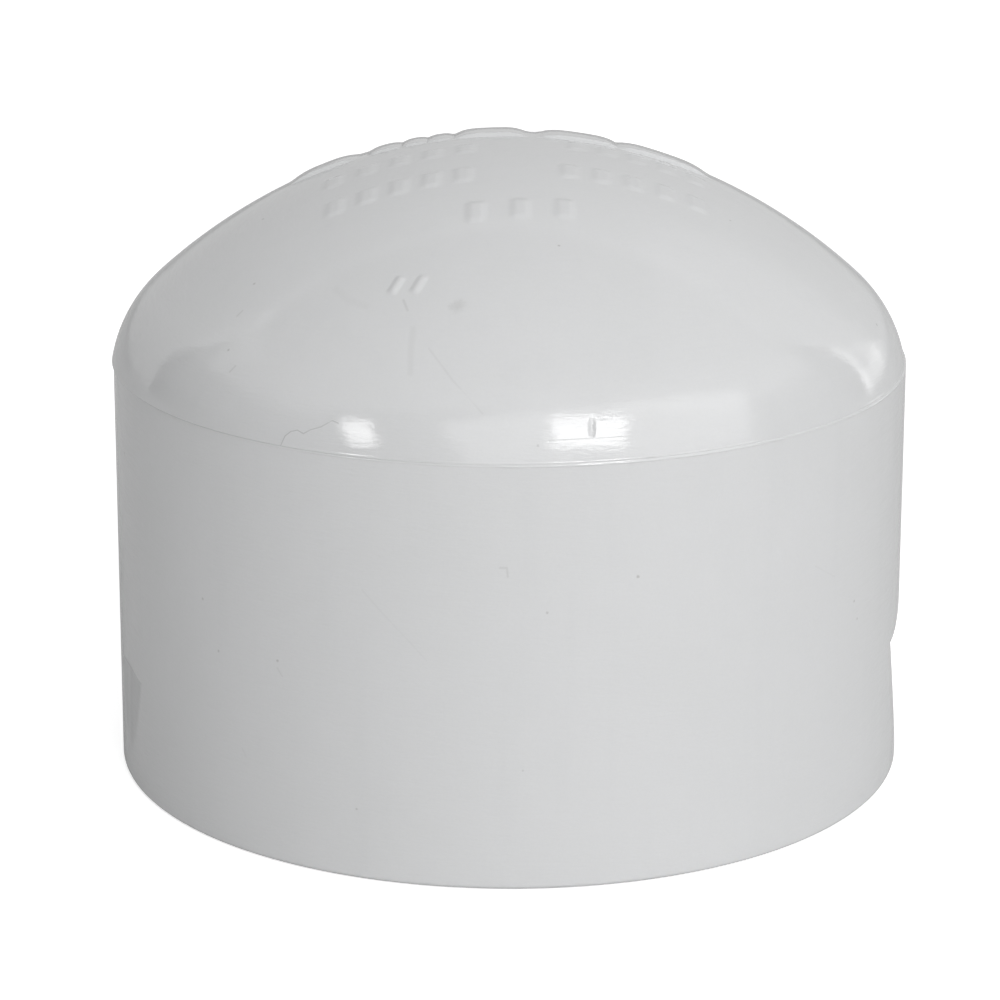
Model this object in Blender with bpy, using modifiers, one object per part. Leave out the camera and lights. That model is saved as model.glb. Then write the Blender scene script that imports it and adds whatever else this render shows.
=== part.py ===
"""Socket pipe cap for 1-1/2 inch pipe, moulded in one piece from white rigid PVC.

The mouth lies in the plane z = 0 and the domed end points along +Z. The outside is what the two halves of
the mould's cavity leave: a skirt below the parting line and a dome with raised pads above it. The inside is
what the core leaves: a tapered socket, the ledge that stops the pipe, and a hollow under the dome.
All sizes are in metres.
"""

import math

import bmesh
import bpy
from mathutils import Matrix, Vector

# Skirt, the straight part around the socket
SKIRT_RADIUS = 0.0282  # at the parting line
MOUTH_RADIUS = 0.0283  # the draft opens the skirt slightly towards the mouth
SKIRT_HEIGHT = 0.0295  # from the mouth up to the parting line
RIM_ROUNDING = 0.0003

# Dome: arcs from the parting line to the top, each tangent to the one before. A lean is the angle of the
# surface from vertical. The crown is the last arc, and its centre lies on the axis.
KNUCKLE_RADIUS = 0.0091
SHOULDER_RADIUS = 0.0403
BASE_LEAN = math.radians(11)
KNUCKLE_LEAN = math.radians(47.5)
SHOULDER_LEAN = math.radians(69)
DOME_WALL = 0.0060

# Parting line
MOULD_SHIFT = 0.00012  # how far the upper half of the mould sits towards -X
PARTING_STEP = 0.00010  # height of the band that joins the two halves

# Socket, to the standard sizes for 1-1/2 inch pipe of 48.26 mm outside diameter
SOCKET_MOUTH_RADIUS = 0.02428
SOCKET_END_RADIUS = 0.02405
SOCKET_DEPTH = 0.0278
LEAD_IN = 0.0008  # chamfer around the socket's mouth

# Raised pads on the dome
BROAD_PAD_RISE = 0.00032
SMALL_PAD_RISE = 0.00020
PAD_ROOT = 0.0010  # how deep a pad is rooted in the dome
PAD_DRAFT = 0.00012  # how much narrower a pad is at its top

# Flats left by trimming the gates: azimuth (0 is the front, -Y, and 90 degrees is +X), depth at the inner
# corner, height of that corner, depth at the foot, height of the foot, and height of the rounded lead-out
RIGHT_GATE = (math.radians(88), 0.00095, 0.0105, 0.0, 0.0003, 0.0026)
LEFT_GATE = (math.radians(-73), 0.00021, 0.0084, 0.0, 0.0022, 0.0008)

AROUND = 72  # facets around the axis
PAD_CORNERS = 12
CUTTER_OVERRUN = 0.004


def clear_scene():
    for obj in list(bpy.data.objects):
        bpy.data.objects.remove(obj, do_unlink=True)


def new_collection(name):
    collection = bpy.data.collections.new(name)
    bpy.context.scene.collection.children.link(collection)
    return collection


def new_object(name, mesh, collection):
    obj = bpy.data.objects.new(name, mesh)
    collection.objects.link(obj)
    return obj


def evaluated_mesh(obj):
    """A plain copy of the object's mesh with its modifiers applied."""
    graph = bpy.context.evaluated_depsgraph_get()
    graph.update()
    return bpy.data.meshes.new_from_object(obj.evaluated_get(graph))


def bake(obj):
    """Replaces the object's mesh by its evaluated mesh, and drops its modifiers."""
    mesh = evaluated_mesh(obj)
    obj.modifiers.clear()
    obj.data = mesh


def turned(name, profile, collection):
    """A solid of revolution. The profile is a list of (radius, height) that runs down the outer side."""
    bm = bmesh.new()
    points = [bm.verts.new((radius, 0, height)) for radius, height in profile]
    for first, second in zip(points, points[1:]):
        bm.edges.new((first, second))
    mesh = bpy.data.meshes.new(name)
    bm.to_mesh(mesh)
    bm.free()
    obj = new_object(name, mesh, collection)
    screw = obj.modifiers.new("turn", "SCREW")
    screw.steps = AROUND
    screw.render_steps = AROUND
    screw.use_merge_vertices = True
    screw.merge_threshold = 0.00001
    bake(obj)
    return obj


def dome_arcs(base_radius, base_height, inset):
    """The arcs of a dome that lies inset behind the outer one, as (centre radius, centre height, radius,
    first lean, last lean), from the base to the top."""
    radius, height = base_radius, base_height
    arcs = []
    for size, start, end in (
        (KNUCKLE_RADIUS, BASE_LEAN, KNUCKLE_LEAN),
        (SHOULDER_RADIUS, KNUCKLE_LEAN, SHOULDER_LEAN),
    ):
        centre_radius = radius - size * math.cos(start)
        centre_height = height - size * math.sin(start)
        arcs.append((centre_radius, centre_height, size - inset, start, end))
        radius = centre_radius + size * math.cos(end)
        height = centre_height + size * math.sin(end)
    crown = radius / math.cos(SHOULDER_LEAN)
    crown_height = height - crown * math.sin(SHOULDER_LEAN)
    arcs.append((0.0, crown_height, crown - inset, SHOULDER_LEAN, math.pi / 2))
    return arcs


OUTER_ARCS = dome_arcs(SKIRT_RADIUS, SKIRT_HEIGHT + PARTING_STEP, 0.0)
INNER_ARCS = dome_arcs(SKIRT_RADIUS, SKIRT_HEIGHT + PARTING_STEP, DOME_WALL)


def arc_points(arcs, steps):
    """Points down the arcs, from the top of the dome to its base, with so many steps on each arc."""
    points = []
    for (centre_radius, centre_height, size, start, end), count in zip(reversed(arcs), steps):
        for step in range(count):
            lean = end + (start - end) * step / count
            points.append((centre_radius + size * math.cos(lean), centre_height + size * math.sin(lean)))
    centre_radius, centre_height, size, start, _ = arcs[0]
    points.append((centre_radius + size * math.cos(start), centre_height + size * math.sin(start)))
    points[0] = (0.0, points[0][1])
    return points


def quarter_round(centre_radius, centre_height, size, steps):
    """Points from the side of a rounded lower outer edge to its underside."""
    turns = [math.pi / 2 * step / steps for step in range(steps + 1)]
    return [(centre_radius + size * math.cos(t), centre_height - size * math.sin(t)) for t in turns]


def outer_form(collection):
    """What the cavity leaves, still without the socket: dome, parting line and skirt."""
    profile = arc_points(OUTER_ARCS, (7, 5, 6))
    profile.append((SKIRT_RADIUS, SKIRT_HEIGHT))
    profile += quarter_round(MOUTH_RADIUS - RIM_ROUNDING, RIM_ROUNDING, RIM_ROUNDING, 2)
    profile.append((0.0, 0.0))
    form = turned("cap_body", profile, collection)
    for vertex in form.data.vertices:
        if vertex.co.z > SKIRT_HEIGHT + PARTING_STEP / 2:
            vertex.co.x -= MOULD_SHIFT
    return form


def core(collection):
    """What the core fills: the hollow under the dome, the ledge, the tapered socket and its lead-in."""
    profile = arc_points(INNER_ARCS, (5, 3, 4))
    profile.append((profile[-1][0], SOCKET_DEPTH))
    profile.append((SOCKET_END_RADIUS, SOCKET_DEPTH))
    profile.append((SOCKET_MOUTH_RADIUS, LEAD_IN))
    profile.append((SOCKET_MOUTH_RADIUS + LEAD_IN + CUTTER_OVERRUN, -CUTTER_OVERRUN))
    profile.append((0.0, -CUTTER_OVERRUN))
    return turned("core", profile, collection)


def dome_frame(x, y):
    """The place on the dome over (x, y), with local Z along the surface's normal and local Y up the plan."""
    radius = math.hypot(x, y)
    for centre_radius, centre_height, size, start, end in OUTER_ARCS:
        if centre_radius + size * math.cos(end) <= radius <= centre_radius + size * math.cos(start):
            lean = math.acos((radius - centre_radius) / size)
            height = centre_height + size * math.sin(lean)
    outward = Vector((x, y, 0)).normalized()
    normal = outward * math.cos(lean) + Vector((0, 0, math.sin(lean)))
    side = Vector((0, 1, 0)).cross(normal).normalized()
    up = normal.cross(side)
    turn = Matrix((side, up, normal)).transposed().to_4x4()
    return Matrix.Translation((x - MOULD_SHIFT, y, height)) @ turn


def add_pad(bm, x, y, width, length, corner, rise, slant=0.0):
    """A raised pad: a rounded rectangle in plan, width along X and length along Y, with drafted sides."""
    pad = bmesh.ops.create_cone(
        bm,
        cap_ends=True,
        segments=PAD_CORNERS,
        radius1=corner,
        radius2=corner - PAD_DRAFT,
        depth=PAD_ROOT + rise,
        matrix=Matrix.Rotation(math.pi / PAD_CORNERS, 4, "Z"),
    )
    reach = Vector((width / 2 - corner, length / 2 - corner, 0))
    for vertex in pad["verts"]:
        vertex.co.x += math.copysign(reach.x, vertex.co.x)
        vertex.co.y += math.copysign(reach.y, vertex.co.y)
        vertex.co.z += (rise - PAD_ROOT) / 2
    place = dome_frame(x, y) @ Matrix.Rotation(slant, 4, "Z")
    bmesh.ops.transform(bm, matrix=place, verts=pad["verts"])


def broad_pads(bm):
    """Six broad pads in a line across the dome, behind its top."""
    for centre, width in (
        (-0.0131, 0.0040),
        (-0.0088, 0.0025),
        (-0.0059, 0.0031),
        (-0.0012, 0.0051),
        (0.0050, 0.0050),
        (0.0110, 0.0056),
    ):
        add_pad(bm, centre, 0.0043, width, 0.0054, 0.0009, BROAD_PAD_RISE)


def small_pads(bm):
    """Rows of small pads in front of the broad ones: (first x, y, pitch, rise of y per pad, count)."""
    for first, y, pitch, climb, count in (
        (-0.0122, -0.0029, 0.0023, 0.0003, 5),
        (0.0048, -0.0001, 0.0021, -0.0002, 5),
        (-0.0119, -0.0078, 0.0022, 0.0002, 5),
        (0.0042, -0.0061, 0.0022, 0.0000, 5),
        (-0.0022, -0.0122, 0.0030, 0.0003, 3),
    ):
        for place in range(count):
            add_pad(bm, first + pitch * place, y + climb * place, 0.0013, 0.0024, 0.0005, SMALL_PAD_RISE)


def tally_strokes(bm):
    """Two short slanted strokes low on the front of the dome."""
    for x in (-0.0077, -0.0063):
        add_pad(bm, x, -0.0182, 0.0008, 0.0020, 0.0003, SMALL_PAD_RISE, slant=math.radians(-30))


def raised_pads(collection):
    bm = bmesh.new()
    broad_pads(bm)
    small_pads(bm)
    tally_strokes(bm)
    mesh = bpy.data.meshes.new("raised_pads")
    bm.to_mesh(mesh)
    bm.free()
    return new_object("raised_pads", mesh, collection)


def wall_radius(height):
    return MOUTH_RADIUS + (SKIRT_RADIUS - MOUTH_RADIUS) * height / SKIRT_HEIGHT


def gate_flat(name, gate, collection):
    """Cutter for the flat that trimming a gate leaves at the mouth. It is deepest at an inner corner, runs
    out towards the rim, and above the corner a quarter ellipse leads back to the wall."""
    azimuth, depth, corner_height, foot_depth, foot_height, lead_out = gate
    centre = wall_radius(corner_height) - depth
    outline = []
    steps = 5
    for step in range(steps + 1):
        turn = math.pi / 2 * step / steps
        outline.append((centre + depth * math.cos(turn), corner_height + lead_out * (1 - math.sin(turn))))
    foot = wall_radius(foot_height) - foot_depth
    slope = (foot - centre) / (corner_height - foot_height)
    outline.append((foot + slope * (foot_height + CUTTER_OVERRUN), -CUTTER_OVERRUN))
    outline.append((MOUTH_RADIUS + CUTTER_OVERRUN, -CUTTER_OVERRUN))
    outline.append((MOUTH_RADIUS + CUTTER_OVERRUN, corner_height + lead_out))
    bm = bmesh.new()
    face = bm.faces.new([bm.verts.new((radius, -SKIRT_RADIUS / 2, height)) for radius, height in outline])
    extruded = bmesh.ops.extrude_face_region(bm, geom=[face])
    far_side = [item for item in extruded["geom"] if isinstance(item, bmesh.types.BMVert)]
    bmesh.ops.translate(bm, verts=far_side, vec=(0, SKIRT_RADIUS, 0))
    bmesh.ops.recalc_face_normals(bm, faces=bm.faces)
    mesh = bpy.data.meshes.new(name)
    bm.to_mesh(mesh)
    bm.free()
    cutter = new_object(name, mesh, collection)
    cutter.rotation_euler.z = azimuth - math.pi / 2
    return cutter


def boolean(obj, tool, operation):
    modifier = obj.modifiers.new(tool.name, "BOOLEAN")
    modifier.operation = operation
    modifier.object = tool
    modifier.solver = "EXACT"
    tool.hide_render = True
    tool.display_type = "WIRE"


def rigid_pvc():
    """Off-white moulded PVC, glossy and very slightly cool."""
    material = bpy.data.materials.new("white_rigid_pvc")
    material.use_nodes = True
    shader = material.node_tree.nodes["Principled BSDF"]
    shader.inputs["Base Color"].default_value = (0.66, 0.67, 0.67, 1)
    shader.inputs["Roughness"].default_value = 0.10
    shader.inputs["Metallic"].default_value = 0.0
    shader.inputs["IOR"].default_value = 1.53
    return material


def build():
    clear_scene()
    parts = new_collection("pipe_cap")
    cutters = new_collection("cutters")
    cap = outer_form(parts)
    boolean(cap, raised_pads(cutters), "UNION")
    boolean(cap, core(cutters), "DIFFERENCE")
    boolean(cap, gate_flat("right_gate_flat", RIGHT_GATE, cutters), "DIFFERENCE")
    boolean(cap, gate_flat("left_gate_flat", LEFT_GATE, cutters), "DIFFERENCE")
    bake(cap)
    cap.data.name = "cap_body"
    cap.data.materials.clear()
    cap.data.materials.append(rigid_pvc())
    cap.data.shade_smooth()
    cap.data.set_sharp_from_angle(angle=math.radians(30))


build()
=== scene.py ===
"""Looks of the pipe cap: its moulded surface in full detail, its material, a small studio and the camera."""

import functools
import math
from typing import NamedTuple

import bmesh
import bpy
import numpy as np
from mathutils import Matrix, Vector
from mathutils.geometry import delaunay_2d_cdt


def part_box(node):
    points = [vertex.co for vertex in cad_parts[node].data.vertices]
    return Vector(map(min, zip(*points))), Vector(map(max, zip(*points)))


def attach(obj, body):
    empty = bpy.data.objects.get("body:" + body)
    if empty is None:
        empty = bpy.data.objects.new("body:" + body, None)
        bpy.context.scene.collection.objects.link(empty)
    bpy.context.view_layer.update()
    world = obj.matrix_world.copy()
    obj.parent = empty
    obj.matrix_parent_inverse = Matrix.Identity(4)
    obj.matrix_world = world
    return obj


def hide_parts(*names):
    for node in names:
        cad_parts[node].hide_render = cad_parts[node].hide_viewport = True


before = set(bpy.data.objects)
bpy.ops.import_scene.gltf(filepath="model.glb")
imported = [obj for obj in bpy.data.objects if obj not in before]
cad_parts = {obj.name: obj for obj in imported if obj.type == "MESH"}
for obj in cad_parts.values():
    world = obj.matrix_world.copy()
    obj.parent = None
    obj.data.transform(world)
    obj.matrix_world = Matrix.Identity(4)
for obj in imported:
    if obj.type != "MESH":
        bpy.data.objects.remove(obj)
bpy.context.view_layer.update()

# Lengths are in millimetres up to the studio, and angles are in degrees unless a comment says otherwise.
MM = 0.001
_, CAD_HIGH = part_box("cap_body")

# Outer form, the same as the CAD node's
SKIRT_RADIUS = 28.2
MOUTH_RADIUS = CAD_HIGH.x / MM
SKIRT_HEIGHT = 29.5
PARTING_STEP = 0.1
MOULD_SHIFT = 0.11  # how far the dome sits towards -X of the skirt
RIM_ROUNDING = 0.3
KNUCKLE_RADIUS = 9.1
SHOULDER_RADIUS = 40.3
BASE_LEAN, KNUCKLE_LEAN, SHOULDER_LEAN = 11, 47.5, 69
DOME_WALL = 6.0

# Socket
SOCKET_MOUTH_RADIUS = 24.28
SOCKET_END_RADIUS = 24.05
SOCKET_DEPTH = 27.8
LEAD_IN = 0.8
FILLET = 0.25
LEDGE_FILLET = 0.15  # at the ledge's inner edge


def radians(angle):
    return np.radians(angle)


def smooth(value):
    """0 below 0, 1 above 1, and a soft S between."""
    t = np.clip(value, 0.0, 1.0)
    return t * t * (3 - 2 * t)


# ---- the outer profile -------------------------------------------------------------------------------------


def arc(centre_radius, centre_height, size, start, end, spacing=0.02):
    """Points on an arc of the profile, from one lean to another. A lean is the angle of the surface from
    vertical: 90 is the top of the dome, 0 the skirt's wall and -90 the underside of the rim."""
    count = max(3, int(abs(radians(end - start)) * size / spacing))
    lean = radians(np.linspace(start, end, count))
    return np.stack([centre_radius + size * np.cos(lean), centre_height + size * np.sin(lean)], 1)


def dome_arcs(inset):
    """The dome's three arcs from the base up, for a surface that lies inset behind the outer one. Each is a
    set of arguments for arc, and runs from its upper end down."""
    radius, height = SKIRT_RADIUS, SKIRT_HEIGHT + PARTING_STEP
    arcs = []
    for size, start, end in (
        (KNUCKLE_RADIUS, BASE_LEAN, KNUCKLE_LEAN),
        (SHOULDER_RADIUS, KNUCKLE_LEAN, SHOULDER_LEAN),
    ):
        centre_radius = radius - size * math.cos(radians(start))
        centre_height = height - size * math.sin(radians(start))
        arcs.append((centre_radius, centre_height, size - inset, end, start))
        radius = centre_radius + size * math.cos(radians(end))
        height = centre_height + size * math.sin(radians(end))
    crown = radius / math.cos(radians(SHOULDER_LEAN))
    arcs.append((0.0, height - crown * math.sin(radians(SHOULDER_LEAN)), crown - inset, 90, SHOULDER_LEAN))
    return arcs


def joined(*pieces):
    """One path through all the pieces, without repeated points, and the distance along it."""
    path = np.concatenate(pieces)
    step = np.hypot(*np.diff(path, axis=0).T)
    path = path[np.concatenate([[True], step > 1e-6])]
    return path, np.concatenate([[0], np.cumsum(np.hypot(*np.diff(path, axis=0).T))])


KNUCKLE, SHOULDER, CROWN = dome_arcs(0.0)
RIM_CENTRE = MOUTH_RADIUS - RIM_ROUNDING
OUTER, OUTER_S = joined(
    arc(*CROWN),
    arc(*SHOULDER),
    arc(*KNUCKLE),
    np.array([(SKIRT_RADIUS, SKIRT_HEIGHT)]),
    arc(RIM_CENTRE, RIM_ROUNDING, RIM_ROUNDING, 0, -90),
)


def s_at_height(height):
    """Distance down the outer profile at which it reaches a height."""
    return float(np.interp(-height, -OUTER[:, 1], OUTER_S))


def s_at_radius(radius):
    """Distance down the dome at which it reaches a radius."""
    on_dome = OUTER[:, 1] > SKIRT_HEIGHT + PARTING_STEP
    return np.interp(radius, OUTER[on_dome, 0], OUTER_S[on_dome])


PARTING_S = s_at_height(SKIRT_HEIGHT + PARTING_STEP / 2)
END_S = float(OUTER_S[-1])


def wall_radius(height):
    """Radius of the skirt's wall at a height."""
    return np.interp(height, (0, SKIRT_HEIGHT), (MOUTH_RADIUS, SKIRT_RADIUS))


# ---- relief on the outer surface ---------------------------------------------------------------------------


class Pad(NamedTuple):
    """A raised pad on the dome. Its place, width and length are in plan, a slope is the width of a sloping
    edge, and slant turns the pad in plan."""

    x: float
    y: float
    width: float
    length: float
    rise: float
    end_slope: float
    front_slope: float
    slant: float = 0.0
    lens_ends: bool = False


# The broad pads behind the dome's top, in one row: (x, width, rise, end slope)
BROAD_Y, BROAD_LENGTH, BROAD_FRONT_SLOPE = 4.5, 5.0, 0.26
BROAD_PADS = (
    (-13.2, 2.9, 0.26, 2.0),
    (-8.8, 1.2, 0.17, 1.2),
    (-6.7, 0.9, 0.17, 1.0),
    (-4.9, 0.9, 0.15, 1.0),
    (-1.3, 3.5, 0.29, 1.7),
    (5.0, 3.9, 0.28, 1.9),
    (10.9, 4.6, 0.28, 2.2),
)
LENS_POWER = 2.5  # how full the rounded ends of the broad pads are

# Rows of small pads: (first x, first y, step in x, step in y, count, rise)
SMALL_WIDTH, SMALL_LENGTH, SMALL_SLOPE = 1.1, 2.1, 0.7
SMALL_ROWS = (
    (-12.2, -2.9, 2.3, 0.3, 5, 0.09),
    (4.8, -0.1, 2.1, -0.2, 5, 0.09),
    (-11.9, -7.8, 2.2, 0.2, 5, 0.10),
    (4.2, -6.1, 2.2, 0.0, 5, 0.10),
    (-2.2, -12.2, 3.0, 0.3, 3, 0.13),
)

# The two slanted strokes lower down: (x, y)
STROKE_WIDTH, STROKE_LENGTH, STROKE_RISE, STROKE_SLOPE, STROKE_SLANT = 0.5, 1.3, 0.12, 0.45, -30
STROKES = ((-7.4, -18.2), (-5.9, -18.5))


def all_pads():
    pads = []
    for x, width, rise, end_slope in BROAD_PADS:
        size = (width, BROAD_LENGTH, rise, end_slope, BROAD_FRONT_SLOPE)
        pads.append(Pad(x, BROAD_Y, *size, lens_ends=True))
    for first_x, first_y, step_x, step_y, count, rise in SMALL_ROWS:
        size = (SMALL_WIDTH, SMALL_LENGTH, rise, SMALL_SLOPE, SMALL_SLOPE)
        for number in range(count):
            pads.append(Pad(first_x + step_x * number, first_y + step_y * number, *size))
    for x, y in STROKES:
        size = (STROKE_WIDTH, STROKE_LENGTH, STROKE_RISE, STROKE_SLOPE, STROKE_SLOPE)
        pads.append(Pad(x, y, *size, slant=STROKE_SLANT))
    return pads


PADS = all_pads()


def pad_axes(x, y, pad):
    """Distances from a pad's middle along its width and along its length."""
    turn = radians(pad.slant)
    along = (x - pad.x) * math.cos(turn) + (y - pad.y) * math.sin(turn)
    across = (y - pad.y) * math.cos(turn) - (x - pad.x) * math.sin(turn)
    return np.abs(along), np.abs(across)


def pad_relief(x, y):
    """How far the pads stand above the dome at a place in plan."""
    total = np.zeros_like(x)
    for pad in PADS:
        along, across = pad_axes(x, y, pad)
        end = np.clip(0.5 - (along - pad.width / 2) / pad.end_slope, 0, 1)
        end = 1 - (1 - end) ** LENS_POWER if pad.lens_ends else smooth(end)
        front = smooth(0.5 - (across - pad.length / 2) / pad.front_slope)
        total = np.maximum(total, pad.rise * end * front)
    return total


class Gate(NamedTuple):
    """The flat left by trimming a gate: a wedge, deepest at its upper corner, that runs out at its foot. The
    lead-out is the height of the rounding above the corner. The grid's columns stand closer together within
    fine_span degrees of its azimuth."""

    azimuth: float
    depth: float
    corner: float
    foot: float
    lead_out: float
    fine_span: float


RIGHT_GATE = Gate(88.0, 0.95, 10.5, 0.3, 2.6, 17)
LEFT_GATE = Gate(-73.0, 0.21, 8.4, 2.2, 0.8, 9)
GATES = (RIGHT_GATE, LEFT_GATE)
GATES_BELOW = 14  # no gate reaches this height
GATE_REACH = 0.5  # a gate is cut within this angle of its azimuth, in radians
GATE_SOFTNESS = 0.02  # how far the gates' edges are rounded off
CLEAR = 9  # added to a radius, it puts a gate's face beyond the wall


def gate_face(height, gate):
    """Distance from the axis to a gate's flat at a height, or one beyond the wall above the gate."""
    centre = wall_radius(gate.corner) - gate.depth
    foot_radius = wall_radius(gate.foot)
    flat = centre + (foot_radius - centre) * (gate.corner - height) / (gate.corner - gate.foot)
    up = np.clip((height - gate.corner) / gate.lead_out, 0, 1)
    rounded = centre + gate.depth * np.sqrt(1 - (1 - up) ** 2)
    top = gate.corner + gate.lead_out
    upper = np.where(height < top, rounded, wall_radius(height) + CLEAR)
    return np.where(height < gate.corner, flat, upper)


def gate_cut(radius, azimuth, height):
    """The radius of the wall once the gates' flats are cut."""
    for gate in GATES:
        turned = radians((azimuth - gate.azimuth + 180) % 360 - 180)
        face = gate_face(height, gate) / np.maximum(np.cos(turned), 0.5)
        face = np.where(np.abs(turned) < GATE_REACH, face, radius + CLEAR)
        gap = radius - face
        radius = radius - 0.5 * (gap + np.sqrt(gap * gap + GATE_SOFTNESS**2))
    return radius


# Size of the flash round the parting line, 1 where it is crisp: (azimuth, size)
FLASH = (
    (-180, 0.3),
    (-100, 0.2),
    (-45, 0.1),
    (-22, 0.6),
    (-12, 0.5),
    (8, 0.8),
    (16, 1.1),
    (28, 0.9),
    (45, 0.25),
    (60, 0.8),
    (80, 0.35),
    (180, 0.3),
)

# The flash's two beads: (place across the parting line, height, width, seed)
BEADS = ((-0.11, 0.030, 0.05, 3), (0.11, 0.042, 0.055, 4))


def ring_noise(azimuth, seed, waves=24):
    """A smooth random value between about -1 and 1 around the axis."""
    random = np.random.default_rng(seed)
    value = np.zeros_like(azimuth)
    for wave in range(1, waves + 1):
        phase = random.uniform(0, 360)
        value += random.normal() * np.cos(radians(azimuth * wave * 5 + phase)) / math.sqrt(waves)
    return value


def parting_flash(s, azimuth):
    """Two fine uneven beads at the parting line, where the mould's halves meet. They are crispest just right
    of the front and faintest at the left."""
    beads = np.zeros_like(s)
    size = np.interp(azimuth, *zip(*FLASH))
    for place, height, width, seed in BEADS:
        uneven = np.clip(0.75 + 0.4 * ring_noise(azimuth, seed), 0.15, 1.6)
        beads += height * size * uneven * np.exp(-(((s - PARTING_S - place) / width) ** 2))
    return beads


# Half the distances over which the profile's slope and the surface's normals are measured
SLOPE_STEP = 0.02
NORMAL_STEP = 0.006


def azimuth_of(u, v):
    """Azimuth of a place on the surface laid flat."""
    return np.degrees(np.arctan2(u, -v))


def surface(u, v):
    """The outer surface. (u, v) is the place on the surface laid flat: its distance from the dome's top along
    the profile, in the direction of its azimuth. 0 is the front, -Y, and 90 is +X."""
    s = np.hypot(u, v)
    azimuth = azimuth_of(u, v)
    safe = np.maximum(s, 1e-9)
    out_x, out_y = u / safe, v / safe
    inside = np.minimum(s, END_S)
    radius = np.interp(inside, OUTER_S, OUTER[:, 0])
    height = np.interp(inside, OUTER_S, OUTER[:, 1])
    ahead = np.minimum(inside + SLOPE_STEP, END_S)
    behind = np.maximum(inside - SLOPE_STEP, 0)
    run = np.interp(ahead, OUTER_S, OUTER[:, 0]) - np.interp(behind, OUTER_S, OUTER[:, 0])
    fall = np.interp(behind, OUTER_S, OUTER[:, 1]) - np.interp(ahead, OUTER_S, OUTER[:, 1])
    length = np.maximum(np.hypot(run, fall), 1e-9)
    lift = pad_relief(radius * out_x, radius * out_y) + parting_flash(s, azimuth)
    radius = radius + lift * fall / length
    height = height + lift * run / length
    low = (height < GATES_BELOW) & (s > PARTING_S)
    radius = np.where(low, gate_cut(radius, azimuth, height), radius)
    shift = MOULD_SHIFT * smooth((PARTING_S - s) / PARTING_STEP + 0.5)
    return np.stack([radius * out_x - shift, radius * out_y, height], -1)


def surface_normal(u, v):
    """Unit normals of the outer surface."""
    across = surface(u + NORMAL_STEP, v) - surface(u - NORMAL_STEP, v)
    along = surface(u, v + NORMAL_STEP) - surface(u, v - NORMAL_STEP)
    normal = np.cross(across, along)
    return normal / np.linalg.norm(normal, axis=1, keepdims=True)


# ---- the outer sheet ---------------------------------------------------------------------------------------

# The dome's middle, with the pads, is triangulated; outside this radius the sheet is a grid.
JOIN_RADIUS = 21.5
JOIN_S = float(s_at_radius(JOIN_RADIUS))

# Spacing of the grid's columns in degrees, away from the gates and across them
COLUMN_SPACING, FINE_COLUMN_SPACING = 1.2, 0.35

# Rows of the grid: places across the parting line, and spacings above it and below it
BEAD_ROWS = np.linspace(-0.26, 0.26, 21)
DOME_SPACING, SKIRT_SPACING = 0.45, 1.4

# Rows of the grid further down the skirt: (upper height, lower height, spacing)
SKIRT_BANDS = ((13, 9.3, 0.5), (8, 1.2, 0.7), (1.2, RIM_ROUNDING, 0.3))
CORNER_OFFSETS = (0.03, 0.08, 0.2)  # rows just below a gate's corner
LEAD_OUT_ROWS = 1 - np.cos(np.radians(np.linspace(0, 80, 12)))  # as shares of the lead-out
RIM_ROWS = 6

# Vertices in a ring of the dome's middle: (rings wider than this, count)
RING_COUNTS = ((7, 288), (3.4, 144), (1.6, 72), (0, 36))
RING_SPACING = 0.75

# Places of the vertices across a pad's sloping edge, as shares of the slope, and their spacing on its top
EDGE_STATIONS = np.array([-0.6, -0.4, -0.22, -0.07, 0.07, 0.22, 0.4, 0.6])
TOP_SPACING = 0.6
PAD_CLEARANCE = 0.15  # between a pad's vertices and the rings'


def spread(start, end, spacing):
    """Even steps of about a spacing from start to end, without end itself."""
    return list(np.linspace(start, end, max(1, round((end - start) / spacing)), endpoint=False))


def column_azimuths():
    """Azimuths of the grid's columns, closer together across the gates' flats."""
    azimuths = []
    azimuth = -180.0
    while azimuth < 179.5:  # the last column stays clear of the first
        azimuths.append(azimuth)
        near_gate = any(abs(azimuth - gate.azimuth) < gate.fine_span for gate in GATES)
        azimuth += FINE_COLUMN_SPACING if near_gate else COLUMN_SPACING
    return np.array(azimuths)


AZIMUTHS = column_azimuths()
COLUMNS = len(AZIMUTHS)


def ring(s, azimuths):
    """(u, v) of a ring of vertices at a distance down the profile."""
    return np.stack([s * np.sin(radians(azimuths)), -s * np.cos(radians(azimuths))], 1)


def grid_rows():
    """Distances down the profile of the grid's rows, close together where the surface turns or steps."""
    beads = list(PARTING_S + BEAD_ROWS)
    places = spread(JOIN_S, beads[0] - 0.1, DOME_SPACING) + beads
    places += spread(beads[-1] + 0.2, s_at_height(SKIRT_BANDS[0][0]), SKIRT_SPACING)
    for top, bottom, spacing in SKIRT_BANDS:
        places += spread(s_at_height(top), s_at_height(bottom), spacing)
    for gate in GATES:
        places += [s_at_height(height) for height in gate.corner + gate.lead_out * LEAD_OUT_ROWS]
        places += [s_at_height(gate.corner - offset) for offset in CORNER_OFFSETS]
    rim = list(np.linspace(s_at_height(RIM_ROUNDING), END_S, RIM_ROWS))
    return np.unique(np.round(places + rim, 4))


def laid_flat(x, y):
    """The (u, v) of a place on the dome given in plan."""
    radius = np.hypot(x, y)
    scale = s_at_radius(radius) / np.maximum(radius, 1e-9)
    return np.stack([x * scale, y * scale], -1)


def edge_stations(half, slope):
    """Stations from one edge of a pad to the other, close together on its slopes."""
    edge = half + slope * EDGE_STATIONS
    edge = edge[edge > 0.05]
    count = max(1, math.ceil(2 * edge[0] / TOP_SPACING))
    middle = np.linspace(-edge[0], edge[0], count, endpoint=False)[1:]
    return np.concatenate([-edge[::-1], middle, edge])


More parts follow.
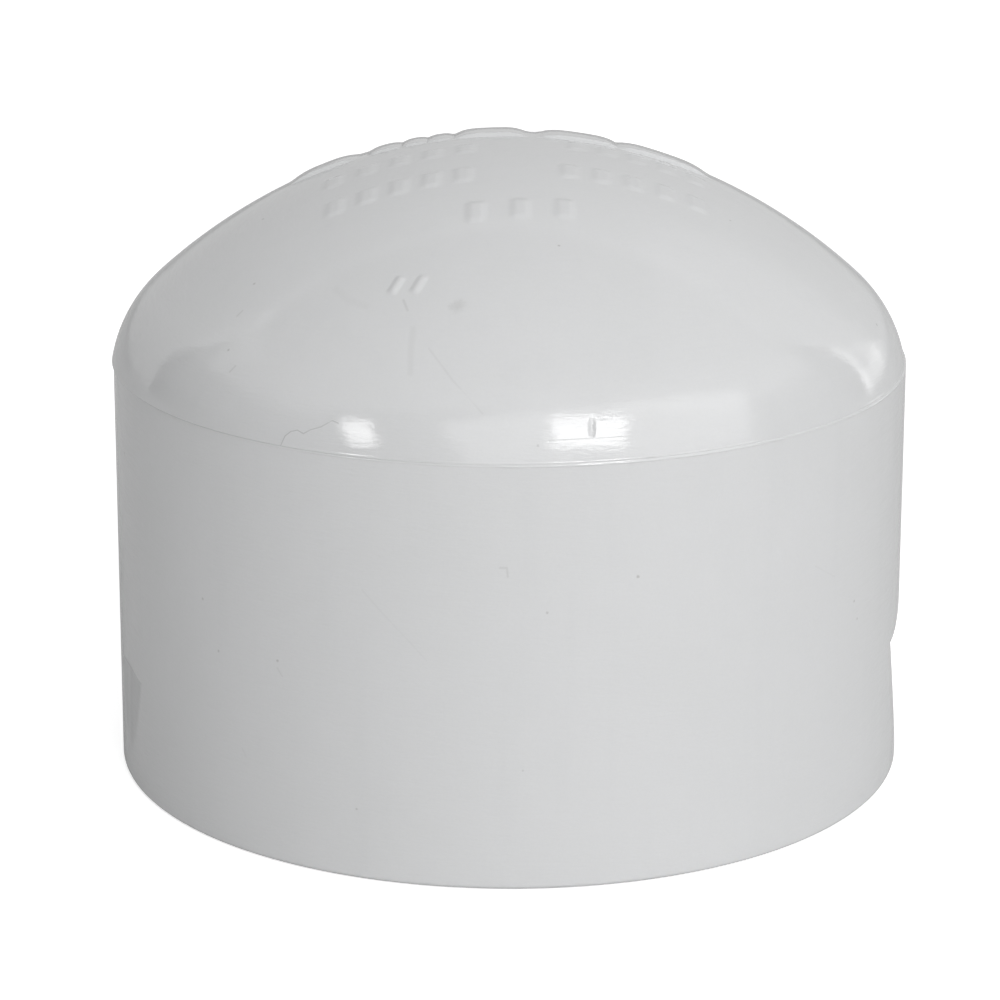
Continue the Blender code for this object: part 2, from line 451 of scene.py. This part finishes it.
def pad_points(pad):
    """(u, v) of a pad's vertices."""
    across_width = edge_stations(pad.width / 2, pad.end_slope)
    across_length = edge_stations(pad.length / 2, pad.front_slope)
    x, y = np.meshgrid(across_width, across_length)
    turn = radians(pad.slant)
    plan_x = pad.x + x * math.cos(turn) - y * math.sin(turn)
    plan_y = pad.y + x * math.sin(turn) + y * math.cos(turn)
    return laid_flat(plan_x.ravel(), plan_y.ravel())


def middle_points():
    """(u, v) points of the dome's middle; the last ring of them is the grid's first row."""
    rings = [np.zeros((1, 2))]
    for s in spread(0.7, JOIN_S - 0.4, RING_SPACING):
        count = next(count for wider, count in RING_COUNTS if s > wider)
        rings.append(ring(s, np.arange(count) * 360 / count))
    grid = np.concatenate(rings)
    s = np.hypot(*grid.T)
    plan = grid * (np.interp(s, OUTER_S, OUTER[:, 0]) / np.maximum(s, 1e-9))[:, None]
    keep = np.ones(len(grid), bool)
    points = []
    for pad in PADS:
        along, across = pad_axes(*plan.T, pad)
        beyond_ends = along > pad.width / 2 + EDGE_STATIONS[-1] * pad.end_slope + PAD_CLEARANCE
        beyond_sides = across > pad.length / 2 + EDGE_STATIONS[-1] * pad.front_slope + PAD_CLEARANCE
        keep &= beyond_ends | beyond_sides
        points.append(pad_points(pad))
    return np.concatenate([grid[keep]] + points + [ring(JOIN_S, AZIMUTHS)])


def outer_sheet():
    """(u, v) of every vertex of the outside, its faces, and the last row's vertices, at the rim."""
    points = middle_points()
    first = len(points) - COLUMNS
    edges = [(first + i, first + (i + 1) % COLUMNS) for i in range(COLUMNS)]
    found = delaunay_2d_cdt([Vector(p) for p in points], edges, [], 0, 1e-6, True)
    flat = np.array([tuple(p) for p in found[0]])
    corners = np.array(found[2])
    ab, ac = flat[corners[:, 1]] - flat[corners[:, 0]], flat[corners[:, 2]] - flat[corners[:, 0]]
    turn = ab[:, 0] * ac[:, 1] - ab[:, 1] * ac[:, 0]
    corners[turn < 0] = corners[turn < 0][:, ::-1]
    faces = [tuple(map(int, face)) for face in corners[np.abs(turn) > 1e-9]]
    place = {source: number for number, names in enumerate(found[3]) for source in names}
    last = [place[first + i] for i in range(COLUMNS)]
    rings = [ring(s, AZIMUTHS) for s in grid_rows()[1:]]
    for number in range(len(rings)):
        here = list(range(len(flat) + number * COLUMNS, len(flat) + (number + 1) * COLUMNS))
        faces += strip(last, here)
        last = here
    return np.concatenate([flat] + rings), faces, last


def strip(last, here):
    """Quads between two rings of vertices."""
    return [
        (last[i], here[i], here[(i + 1) % COLUMNS], last[(i + 1) % COLUMNS]) for i in range(COLUMNS)
    ]


# ---- the inside --------------------------------------------------------------------------------------------


def rounded_corner(before, corner, after, size, steps=4):
    """Points around a corner of a profile, rounded by a curve that starts and ends size away from it."""
    before, corner, after = (np.array(p, float) for p in (before, corner, after))
    start = corner + (before - corner) * size / np.linalg.norm(before - corner)
    end = corner + (after - corner) * size / np.linalg.norm(after - corner)
    t = np.linspace(0, 1, steps + 1)[:, None]
    return (1 - t) ** 2 * start + 2 * t * (1 - t) * corner + t**2 * end


def inner_path():
    """Profile of the inside, from the flat rim up the socket to the top of the hollow."""
    knuckle, shoulder, crown = dome_arcs(DOME_WALL)
    hollow = arc(*crown, spacing=1.6), arc(*shoulder, spacing=1.4), arc(*knuckle, spacing=0.5)
    dome, _ = joined(*hollow)
    dome = dome[::-1]
    corners = [
        (RIM_CENTRE, 0),
        (SOCKET_MOUTH_RADIUS + LEAD_IN, 0),
        (SOCKET_MOUTH_RADIUS, LEAD_IN),
        (SOCKET_END_RADIUS, SOCKET_DEPTH),
        (dome[0, 0], SOCKET_DEPTH),
        tuple(dome[0]),
    ]
    pieces = [
        rounded_corner(*corners[number - 1 : number + 2], FILLET if number < 4 else LEDGE_FILLET)
        for number in range(1, 5)
    ]
    socket = np.linspace(pieces[1][-1], pieces[2][0], 9)[1:-1]
    rim = np.linspace((RIM_CENTRE, 0), pieces[0][0], 5)[1:-1]
    path, _ = joined(rim, pieces[0], pieces[1], socket, pieces[2], pieces[3], dome)
    path[-1] = (0, path[-1, 1])
    return path


SCRAPE_AND_SHADE_REACH = 0.3  # radians each side of the left gate's azimuth
SCRAPE_AND_SHADE_DEPTH = 0.04  # the flat counts as fully scraped, and takes its full painted shade, where it is cut deeper than this


def gate_scrape_and_shade(flat):
    """How much a vertex lies on the left gate's scraped flat, from 0 to 1. This mask gives the flat its
    duller gloss and the painted shade that darkens it.
    """
    s = np.hypot(*flat.T)
    height = np.interp(np.minimum(s, END_S), OUTER_S, OUTER[:, 1])
    turned = radians(azimuth_of(*flat.T) - LEFT_GATE.azimuth)
    wall = wall_radius(height) * np.cos(np.clip(turned, -GATE_REACH, GATE_REACH))
    gap = wall - gate_face(height, LEFT_GATE)
    near = (s > PARTING_S) & (np.abs(turned) < SCRAPE_AND_SHADE_REACH)
    return np.where(near, smooth(gap / SCRAPE_AND_SHADE_DEPTH), 0.0)


def cap_mesh():
    """The whole cap: the outer sheet, and rings of vertices down the profile of the inside."""
    flat, faces, last = outer_sheet()
    outside = surface(flat[:, 0], flat[:, 1])
    normals = surface_normal(flat[:, 0], flat[:, 1])
    path = inner_path()
    sine, cosine = np.sin(radians(AZIMUTHS)), -np.cos(radians(AZIMUTHS))
    start = len(outside)
    inside = []
    for radius, height in path[:-1]:
        inside.append(np.stack([radius * sine, radius * cosine, np.full(COLUMNS, height)], 1))
        here = list(range(start, start + COLUMNS))
        faces += strip(last, here)
        last = here
        start += COLUMNS
    inside.append(np.array([[0, 0, path[-1, 1]]]))
    faces += [(last[i], start, last[(i + 1) % COLUMNS]) for i in range(COLUMNS)]
    points = np.concatenate([outside] + inside)
    mesh = bpy.data.meshes.new("moulded_cap")
    mesh.from_pydata((points * MM).tolist(), [], faces)
    mesh.update()
    mesh.shade_smooth()
    # The left gate's flat as a mask, for its duller gloss and for the painted shade on it
    scrape_and_shade = mesh.attributes.new("scrape_and_shade", "FLOAT", "POINT")
    scrape_and_shade.data.foreach_set("value", np.pad(gate_scrape_and_shade(flat), (0, len(points) - len(flat))).astype("f"))
    blank = np.zeros((len(points) - len(normals), 3))
    mesh.normals_split_custom_set_from_vertices(np.concatenate([normals, blank]).tolist())
    return mesh


cap = bpy.data.objects.new("moulded_cap", cap_mesh())
bpy.context.scene.collection.objects.link(cap)
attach(cap, "root")
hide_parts("cap_body")


# ---- material ----------------------------------------------------------------------------------------------


class Graph:
    """A material's nodes, added one at a time; every method gives back the new node's output."""

    OBJECT_COORDINATES = 3  # output of the texture coordinate node
    ATTRIBUTE_VALUE = 2  # output of the attribute node
    VECTOR_MATH_VALUE = 1  # output of the vector math node, for lengths and products
    MIX_A, MIX_B, MIX_COLOUR = 6, 7, 2  # colour inputs and output of the mix node

    def __init__(self, tree):
        self.tree = tree

    def node(self, kind, inputs=(), output=0, **settings):
        node = self.tree.nodes.new(kind)
        for name, value in settings.items():
            setattr(node, name, value)
        for name, value in dict(inputs).items():
            if isinstance(value, bpy.types.NodeSocket):
                self.tree.links.new(value, node.inputs[name])
            else:
                node.inputs[name].default_value = value
        return node.outputs[output]

    def math(self, operation, a, b):
        return self.node("ShaderNodeMath", {0: a, 1: b}, operation=operation)

    def extreme(self, operation, values):
        """The least or the greatest of several values, by MINIMUM or MAXIMUM."""
        return functools.reduce(lambda a, b: self.math(operation, a, b), values)

    def plus(self, value, other, share):
        """A value plus a share of another."""
        return self.math("ADD", value, self.math("MULTIPLY", other, share))

    def vector(self, operation, a, b):
        return self.node("ShaderNodeVectorMath", {0: a, 1: b}, operation=operation)

    def measure(self, operation, a, b=(0, 0, 0)):
        """A vector operation whose result is a number."""
        inputs = {0: a, 1: b}
        return self.node("ShaderNodeVectorMath", inputs, self.VECTOR_MATH_VALUE, operation=operation)

    def scaled(self, vector, size):
        return self.node("ShaderNodeVectorMath", {0: vector, "Scale": size}, operation="SCALE")

    def ramp(self, value, start, end, low=0.0, high=1.0):
        """low up to start, high beyond end, and a soft S between."""
        inputs = {"Value": value, "From Min": start, "From Max": end, "To Min": low, "To Max": high}
        return self.node("ShaderNodeMapRange", inputs, interpolation_type="SMOOTHSTEP")

    def noise(self, vector, scale, detail=2.0, roughness=0.5):
        """Noise around 0.5, with about scale waves per unit of the vector."""
        inputs = {"Vector": vector, "Scale": scale, "Detail": detail, "Roughness": roughness}
        return self.node("ShaderNodeTexNoise", inputs)

    def mix(self, factor, a, b):
        """The colour a where the factor is 0, and b where it is 1."""
        inputs = {0: factor, self.MIX_A: a, self.MIX_B: b}
        return self.node("ShaderNodeMix", inputs, self.MIX_COLOUR, data_type="RGBA")

    def bump(self, height, distance, normal=None):
        """Height runs from 0 to 1, and distance is what 1 stands for, in millimetres."""
        inputs = {"Height": height, "Distance": distance * MM, "Strength": 1.0}
        if normal is not None:
            inputs["Normal"] = normal
        return self.node("ShaderNodeBump", inputs)


def segment_group():
    """A node group: the distance from a place to the segment between two ends."""
    tree = bpy.data.node_groups.new("distance_to_segment", "ShaderNodeTree")
    for name in ("Place", "Start", "End"):
        tree.interface.new_socket(name, in_out="INPUT", socket_type="NodeSocketVector")
    tree.interface.new_socket("Distance", in_out="OUTPUT", socket_type="NodeSocketFloat")
    graph = Graph(tree)
    given = tree.nodes.new("NodeGroupInput").outputs
    along = graph.vector("SUBTRACT", given["End"], given["Start"])
    offset = graph.vector("SUBTRACT", given["Place"], given["Start"])
    reached = graph.measure("DOT_PRODUCT", offset, along)
    share = graph.math("DIVIDE", reached, graph.measure("DOT_PRODUCT", along, along))
    nearest = graph.scaled(along, graph.node("ShaderNodeClamp", {"Value": share}))
    gap = graph.measure("DISTANCE", offset, nearest)
    tree.links.new(gap, tree.nodes.new("NodeGroupOutput").inputs["Distance"])
    return tree


SEGMENT = segment_group()


def on_dome(azimuth, radius):
    """The place on the dome at an azimuth and a distance from the axis."""
    dome = OUTER[OUTER[:, 1] > SKIRT_HEIGHT + PARTING_STEP]
    height = float(np.interp(radius, dome[:, 0], dome[:, 1]))
    a = radians(azimuth)
    return (radius * math.sin(a) - MOULD_SHIFT, -radius * math.cos(a), height)


def on_skirt(azimuth, height):
    """The place on the skirt at an azimuth and a height."""
    a = radians(azimuth)
    return (SKIRT_RADIUS * math.sin(a), -SKIRT_RADIUS * math.cos(a), height)


def path_distance(graph, place, points):
    """Distance from a place to a path of straight lines between points."""
    ends = [{"Place": place, "Start": start, "End": end} for start, end in zip(points, points[1:])]
    gaps = [graph.node("ShaderNodeGroup", inputs, node_tree=SEGMENT) for inputs in ends]
    return graph.extreme("MINIMUM", gaps)


def spot_distance(graph, place, points):
    """Distance from a place to the nearest of some points."""
    gaps = [graph.measure("DISTANCE", place, point) for point in points]
    return graph.extreme("MINIMUM", gaps)


# A stray fibre on the dome: (azimuth, radius)
HAIR = (
    (-31.8, 28.2),
    (-31.3, 28.05),
    (-30.5, 27.95),
    (-29.5, 27.9),
    (-28.5, 27.95),
    (-27.5, 27.85),
    (-26, 27.75),
    (-24.5, 27.55),
    (-23.5, 27.6),
)

# Scratches and scuffs: (points, half width, softness, strength)
SCRATCHES = (
    ([on_dome(-12.5, 23.8), on_dome(-8, 25.6), on_dome(-3.5, 27)], 0.02, 0.10, 0.06),
    ([on_skirt(-20, 20.5), on_skirt(-17, 19), on_skirt(-13.5, 17.3), on_skirt(-11, 16)], 0.02, 0.08, 0.05),
    ([on_dome(-19.5, 20.7), on_dome(-18, 21.4)], 0.02, 0.12, 0.12),
    ([on_skirt(47, 19.8), on_skirt(51.5, 18.5)], 0.02, 0.08, 0.06),
    ([on_dome(-50, 23.3), on_dome(-50.2, 23.7)], 0.02, 0.10, 0.14),
    ([on_dome(-43.5, 26.3), on_dome(-44, 26.6)], 0.02, 0.10, 0.14),
    ([on_skirt(-1.2, 22.6), on_skirt(-0.3, 22.6), on_skirt(-0.2, 22)], 0.02, 0.10, 0.13),
    ([on_skirt(-33.2, 14), on_skirt(-32.4, 13.5)], 0.02, 0.10, 0.12),
    ([on_skirt(-39.7, 7.5), on_skirt(-39, 7)], 0.02, 0.10, 0.12),
    ([on_dome(-16, 22.6), on_dome(-15.3, 24), on_dome(-14.5, 25.3)], 0.05, 0.30, 0.05),
    ([on_dome(-34, 20.5), on_dome(-30, 21.2), on_dome(-26, 21.4)], 0.05, 0.40, 0.03),
)

SMUDGE = on_dome(-9, 20.9)
PIT = on_dome(11.4, 27.5)
PIT_SHAPE = (3.4, 1.15, 1.15)  # scales distances from its middle, so that it is narrow from side to side
GROOVE = [on_dome(azimuth, 27.8) for azimuth in (5.5, 9, 12.5, 15.5)]


def dark_specks():
    """Specks of dirt: a few on the front, where they show most, and the rest scattered all over."""
    random = np.random.default_rng(11)
    specks = [on_skirt(-21, 5), on_skirt(-44, 14), on_skirt(5, 19.5), on_skirt(-72, 24.5), on_skirt(57, 16)]
    specks += [on_dome(-53, 21.5), on_dome(4, 27.9), on_dome(75, 26.5)]
    for azimuth in np.arange(-170, 180, 28):
        specks.append(on_skirt(azimuth + random.uniform(-12, 12), random.uniform(1.5, 27)))
    for azimuth in np.arange(-165, 180, 45):
        specks.append(on_dome(azimuth + random.uniform(-20, 20), random.uniform(14, 27)))
    return specks


# Refractive index and linear colours
PVC_IOR = 1.53
PVC_SHADES = ((0.645, 0.652, 0.655, 1), (0.675, 0.679, 0.687, 1))
STREAK_COLOUR = (0.60, 0.61, 0.62, 1)
# Painted shade: the dark grey mixed onto the left gate's recessed flat
GATE_SHADE_COLOUR = (0.22, 0.22, 0.22, 1)
GRAIN_COLOUR = (0.3, 0.3, 0.3, 1)
DIRT_COLOUR = (0.13, 0.12, 0.11, 1)
HAIR_COLOUR = (0.08, 0.075, 0.075, 1)


def dirt_strength(graph, place, grain):
    """How strongly scratches, specks and a smudge darken a place."""
    marks = []
    for points, half_width, softness, strength in SCRATCHES:
        gap = path_distance(graph, place, points)
        marks.append(graph.ramp(gap, half_width, half_width + softness, strength, 0.0))
    speck = graph.plus(spot_distance(graph, place, dark_specks()), grain, 0.22)
    marks.append(graph.ramp(speck, 0.13, 0.26, 0.34, 0.0))
    smudge = graph.plus(graph.measure("DISTANCE", place, SMUDGE), graph.noise(place, 1.4, 4.0, 0.7), 1.4)
    marks.append(graph.ramp(smudge, 0.7, 1.5, 0.13, 0.0))
    return graph.extreme("MAXIMUM", marks)


def pvc_material():
    """Glossy white PVC, with marks of handling."""
    material = bpy.data.materials.new("white_pvc")
    material.use_nodes = True
    graph = Graph(material.node_tree)
    shader = material.node_tree.nodes["Principled BSDF"]
    shader.inputs["IOR"].default_value = PVC_IOR

    # Places on the cap in millimetres, and two that draw noise out along the axis and around it
    place = graph.scaled(graph.node("ShaderNodeTexCoord", output=graph.OBJECT_COORDINATES), 1 / MM)
    upright = graph.vector("MULTIPLY", place, (1, 1, 0.08))
    level = graph.vector("MULTIPLY", place, (0.35, 0.35, 1.6))

    streaks = graph.noise(upright, 0.55, 2.0)
    grain = graph.noise(place, 3.0, 3.0, 0.7)
    scrape_and_shade = graph.node("ShaderNodeAttribute", output=graph.ATTRIBUTE_VALUE, attribute_name="scrape_and_shade")
    hair = path_distance(graph, place, [on_dome(*point) for point in HAIR])

    # Colour: clouds, upright streaks, painted shade on the left gate's recessed flat, fine grain, dirt and
    # the fibre
    colour = graph.mix(graph.noise(place, 0.09, 3.0), *PVC_SHADES)
    colour = graph.mix(graph.ramp(streaks, 0.5, 0.8, 0, 0.12), colour, STREAK_COLOUR)
    # Painted shade: the left gate's recessed flat is darkened in patches
    painted_gate_shade = graph.math("MULTIPLY", scrape_and_shade, graph.ramp(graph.noise(upright, 0.9), 0.2, 0.7, 0.5, 1.0))
    colour = graph.mix(graph.math("MULTIPLY", painted_gate_shade, 0.30), colour, GATE_SHADE_COLOUR)
    colour = graph.mix(graph.ramp(graph.noise(place, 6.0), 0.3, 0.7, 0, 0.022), colour, GRAIN_COLOUR)
    colour = graph.mix(dirt_strength(graph, place, grain), colour, DIRT_COLOUR)
    colour = graph.mix(graph.ramp(hair, 0.0, 0.055, 0.30, 0.0), colour, HAIR_COLOUR)
    material.node_tree.links.new(colour, shader.inputs["Base Color"])

    # Gloss: polished, with duller patches, and duller still on the scraped gate
    rubbed = graph.ramp(graph.noise(place, 0.35, 4.0, 0.65), 0.35, 0.75, 0.035, 0.075)
    material.node_tree.links.new(graph.plus(rubbed, scrape_and_shade, 0.15), shader.inputs["Roughness"])

    # Relief too fine to model: flow lines, polishing marks, a pit and a groove on the knuckle, the fibre
    normal = graph.bump(graph.noise(level, 0.9, 3.0, 0.55), 0.016)
    normal = graph.bump(graph.noise(level, 3.0, 3.0, 0.65), 0.014, normal)
    normal = graph.bump(streaks, 0.006, normal)
    pit_place = graph.vector("SUBTRACT", place, PIT)
    pit = graph.measure("LENGTH", graph.vector("MULTIPLY", pit_place, PIT_SHAPE))
    normal = graph.bump(graph.ramp(graph.plus(pit, grain, 0.35), 0.1, 1.25), 0.09, normal)
    normal = graph.bump(graph.ramp(path_distance(graph, place, GROOVE), 0.02, 0.11), 0.008, normal)
    normal = graph.bump(graph.ramp(hair, 0.0, 0.07, 1.0, 0.0), 0.012, normal)
    material.node_tree.links.new(normal, shader.inputs["Normal"])
    return material


cap.data.materials.append(pvc_material())


# ---- studio ------------------------------------------------------------------------------------------------

# From here on, lengths are in metres.
AIM = Vector((0, 0, 0.03))  # the lights face this point, and their distances are from it
REACH = 4.0  # half the floor's width, and the radius of the wall around it
FLOOR_LEVEL = -0.00005  # just clear of the rim, so that the two faces don't coincide
FLOOR_GREY = (0.68, 0.68, 0.68, 1)
FLOOR_GLOW = 0.68
WORLD_GLOW = 0.02
BLACK, WHITE = (0, 0, 0, 1), (1, 1, 1, 1)

# Softboxes: (name, azimuth, elevation, distance, width, height, power in watts, tilt)
LIGHTS = (
    ("key", 24.4, 28.9, 1.2, 0.42, 0.52, 4.2, -9.5),
    ("left", -43.4, 21.8, 1.2, 0.17, 0.40, 1.5, 22),
    ("back_right_edge", 122.8, 10.5, 1.2, 0.08, 0.54, 0.13, 0),
    ("back_right_low", 129.5, 2.5, 1.2, 0.33, 0.22, 0.15, 0),
    ("back_right_slant", 132.5, 10, 1.2, 0.56, 0.13, 0.08, -46),
    ("back_left", -116, 36, 1.6, 0.50, 0.55, 0.2, 0),
    ("backdrop", 180, 0, 1.5, 4.7, 2.7, 25, 0),
    ("right", 98, 30, 1.7, 3.0, 2.2, 2.5, 0),
    ("front_low", 30, 26, 1.9, 3.4, 1.7, 24, 0),
    ("overhead", 0, 90, 1.2, 4.4, 1.7, 11.2, 0),
)
# Two of them are moved aside from where their direction and distance put them.
BACKDROP_PLACE = (0, 1.5, 1.25)
OVERHEAD_PLACE = (0, -0.13, 1.2)

# Camera: lens and sensor width in millimetres, place in metres, and angles in degrees
LENS, SENSOR_WIDTH = 136.2, 36
CAMERA_PLACE = (0, -0.26144, 0.09988)
YAW, DOWNWARD, ROLL = 0.149, 17.305, 0.089
NEAREST = 0.01


def direction(azimuth, elevation):
    """The unit vector from the cap towards an azimuth and elevation."""
    a, e = radians(azimuth), radians(elevation)
    return Vector((math.sin(a) * math.cos(e), -math.cos(a) * math.cos(e), math.sin(e)))


def softbox(name, azimuth, elevation, distance, width, height, power, tilt):
    """A rectangular light that faces the cap from a direction. The tilt turns it in its own plane."""
    light = bpy.data.lights.new(name, "AREA")
    light.shape = "RECTANGLE"
    light.size, light.size_y = width, height
    light.energy = power
    lamp = bpy.data.objects.new(name, light)
    bpy.context.scene.collection.objects.link(lamp)
    toward = direction(azimuth, elevation)
    lamp.location = AIM + toward * distance
    lamp.rotation_mode = "QUATERNION"
    turn = toward.to_track_quat("Z", "Y")
    lamp.rotation_quaternion = turn @ Matrix.Rotation(radians(tilt), 4, "Z").to_quaternion()
    return lamp


def plain_object(name, mesh, material_name, inputs):
    """An object in one plain material, whose shader has these inputs."""
    material = bpy.data.materials.new(material_name)
    material.use_nodes = True
    shader = material.node_tree.nodes["Principled BSDF"]
    for key, value in inputs.items():
        shader.inputs[key].default_value = value
    mesh.materials.append(material)
    thing = bpy.data.objects.new(name, mesh)
    bpy.context.scene.collection.objects.link(thing)
    return thing


def horizon():
    """A pale wall all round, which only closes the view beyond the floor's edge: it doesn't light the cap or
    show in its reflections."""
    bm = bmesh.new()
    bmesh.ops.create_cone(bm, segments=96, radius1=REACH, radius2=REACH, depth=2 * REACH)
    mesh = bpy.data.meshes.new("horizon")
    bm.to_mesh(mesh)
    bm.free()
    inputs = {
        "Base Color": BLACK,
        "Specular IOR Level": 0,
        "Emission Color": WHITE,
        "Emission Strength": 1.0,
    }
    wall = plain_object("horizon", mesh, "pale_wall", inputs)
    wall.visible_diffuse = False
    wall.visible_glossy = False
    wall.visible_shadow = False


def glowing_floor():
    """A pale floor. Its glow whitens the floor itself and doesn't light the cap."""
    mesh = bpy.data.meshes.new("floor")
    signs = ((-1, -1), (1, -1), (1, 1), (-1, 1))
    corners = [(x * REACH, y * REACH, FLOOR_LEVEL) for x, y in signs]
    mesh.from_pydata(corners, [], [(0, 1, 2, 3)])
    inputs = {
        "Base Color": FLOOR_GREY,
        "Roughness": 0.9,
        "Emission Color": WHITE,
        "Emission Strength": FLOOR_GLOW,
    }
    floor = plain_object("floor", mesh, "pale_floor", inputs)
    lit = bpy.data.collections.new("lit_by_floor")
    lit.objects.link(floor)
    floor.light_linking.receiver_collection = lit


def studio():
    horizon()
    glowing_floor()
    lamps = {light[0]: softbox(*light) for light in LIGHTS}
    lamps["backdrop"].location = BACKDROP_PLACE
    lamps["overhead"].location = OVERHEAD_PLACE
    lamps["overhead"].rotation_quaternion = (1, 0, 0, 0)  # facing down, with its width along X
    world = bpy.data.worlds.new("studio")
    world.use_nodes = True
    background = world.node_tree.nodes["Background"]
    background.inputs["Color"].default_value = WHITE
    background.inputs["Strength"].default_value = WORLD_GLOW
    bpy.context.scene.world = world


def camera():
    """The photo's camera."""
    data = bpy.data.cameras.new("camera")
    data.sensor_width = SENSOR_WIDTH
    data.lens = LENS
    data.clip_start = NEAREST
    obj = bpy.data.objects.new("camera", data)
    bpy.context.scene.collection.objects.link(obj)
    turn = (
        Matrix.Rotation(radians(YAW), 4, "Z")
        @ Matrix.Rotation(radians(90 - DOWNWARD), 4, "X")
        @ Matrix.Rotation(radians(ROLL), 4, "Z")
    )
    obj.matrix_world = Matrix.Translation(CAMERA_PLACE) @ turn
    bpy.context.scene.camera = obj


studio()
camera()
bpy.context.scene.view_settings.view_transform = "Standard"
